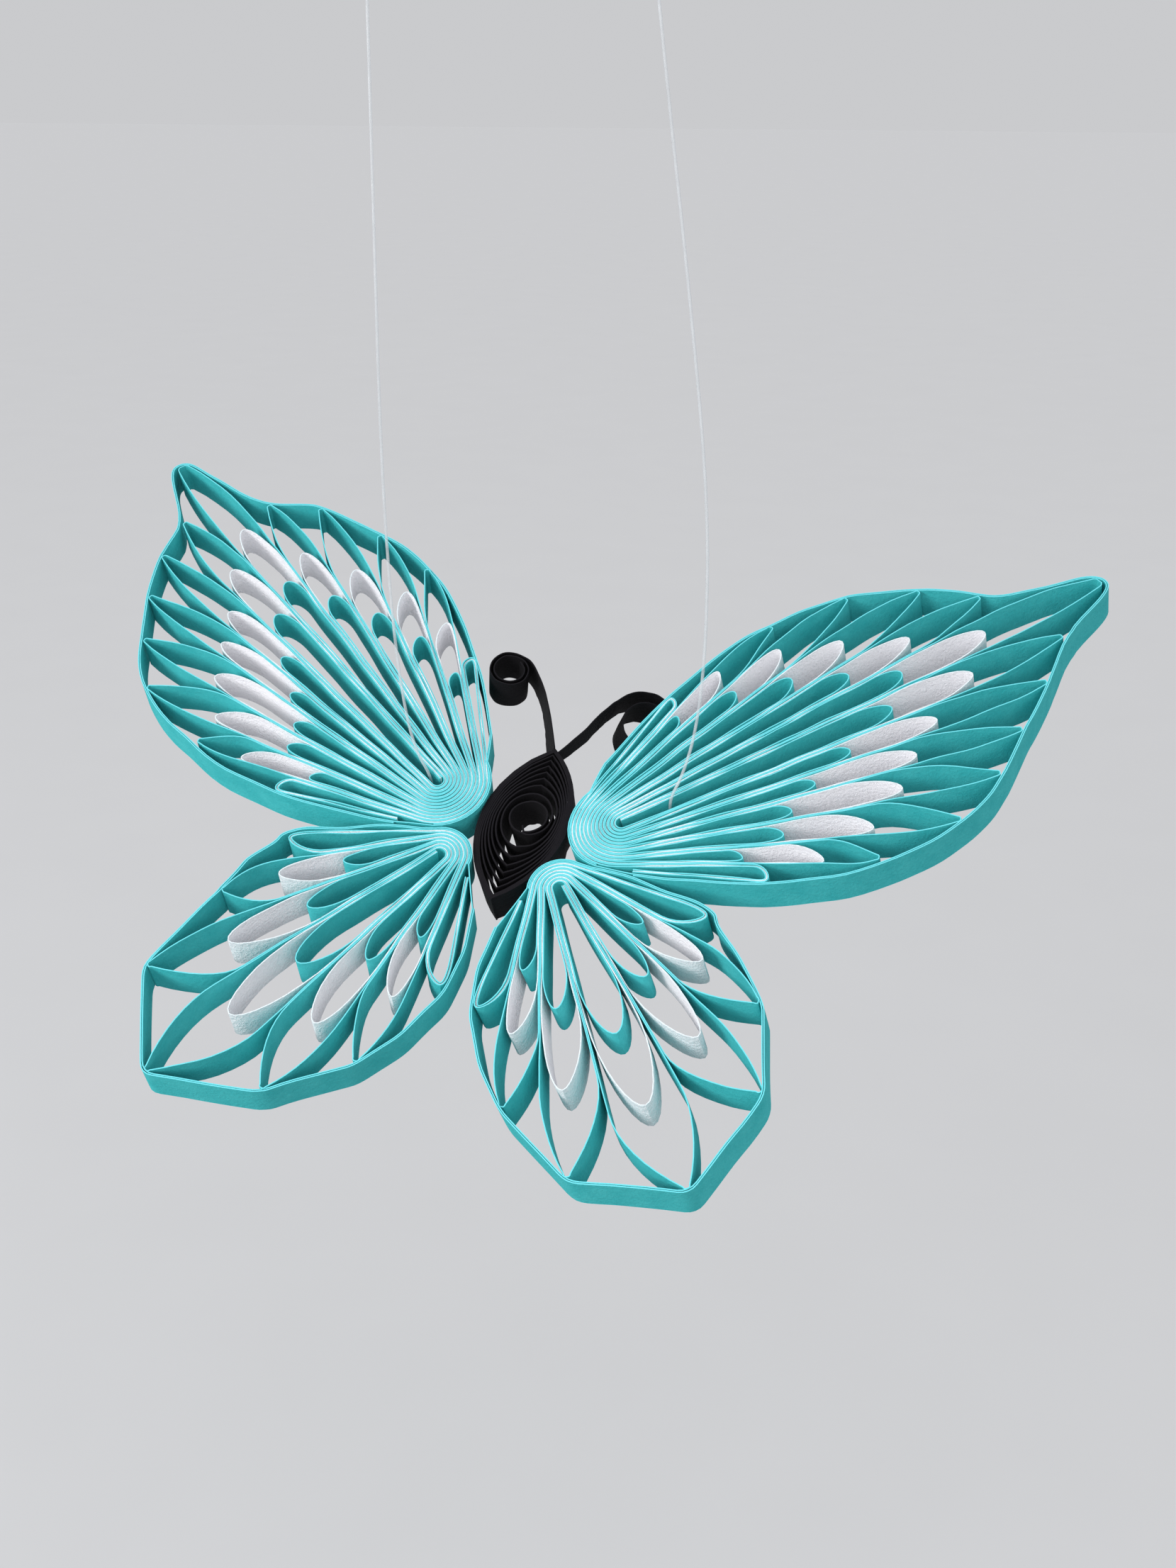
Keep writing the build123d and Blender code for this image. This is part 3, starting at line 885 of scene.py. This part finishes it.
# Antennae
for side_name, stem, coil, tilt, narrow, aside in (
        ("left", LEFT_STEM, LEFT_COIL, LEFT_TILT, LEFT_FOOT, LEFT_ASIDE),
        ("right", RIGHT_STEM, RIGHT_COIL, RIGHT_TILT, RIGHT_FOOT, RIGHT_ASIDE)):
    path = antenna_path(stem, *coil)
    piece = ribbon(side_name + "_antenna_paper", path)
    foot = Vector((*stem[0], 0))
    for i, vertex in enumerate(piece.data.vertices):
        share = min((i % len(path)) / (SPLINE_STEPS * (len(stem) - 2)), 1)
        vertex.co.z *= narrow + (1 - narrow) * share
        vertex.co.x += aside * (1 - share) * vertex.co.z
        turned = Matrix.Rotation(radians(tilt * share), 3, "Y") @ (vertex.co - foot)
        vertex.co = turned + foot
    roughen(piece, tilt, ANTENNA_UNEVENNESS)
    thicken(piece, ANTENNA_PAPER)
    put(piece, HUNG)
    settle(piece, side_name + "_antenna", BLACK)

# Stage and light
bpy.ops.object.select_all(action="DESELECT")
bpy.ops.mesh.primitive_plane_add(size=12, location=(0, 0, -0.2))
floor = bpy.context.object
floor.name = "floor"
floor.data.materials.append(floor_finish())

world = bpy.data.worlds.new("World")
bpy.context.scene.world = world
world.use_nodes = True
sky = Recipe(world.node_tree)
sky.nodes.remove(sky.nodes["Background"])
light = sky.node("ShaderNodeBackground", {"Color": SKYLIGHT, "Strength": 0.84})
view = sky.node("ShaderNodeBackground", {"Color": BACKGROUND, "Strength": 1.0})
shown = sky.node("ShaderNodeMixShader", (sky.seen(), light, view))
sky.links.new(shown.output, sky.nodes["World Output"].inputs["Surface"])


def lamp(name, place, size, power):
    """A square lamp that faces the butterfly."""
    glow = bpy.data.lights.new(name, "AREA")
    glow.shape = "SQUARE"
    glow.size = size
    glow.energy = power
    holder = bpy.data.objects.new(name, glow)
    bpy.context.collection.objects.link(holder)
    holder.location = place
    aim = Vector((0, 0, -0.11)) - Vector(place)
    holder.rotation_euler = aim.to_track_quat("-Z", "Y").to_euler()


lamp("Key", (-0.34, -0.46, 0.04), size=0.25, power=2.2)
lamp("Fill", (0.3, -0.5, 0.0), size=0.5, power=0.9)

bpy.context.scene.view_settings.view_transform = "Standard"
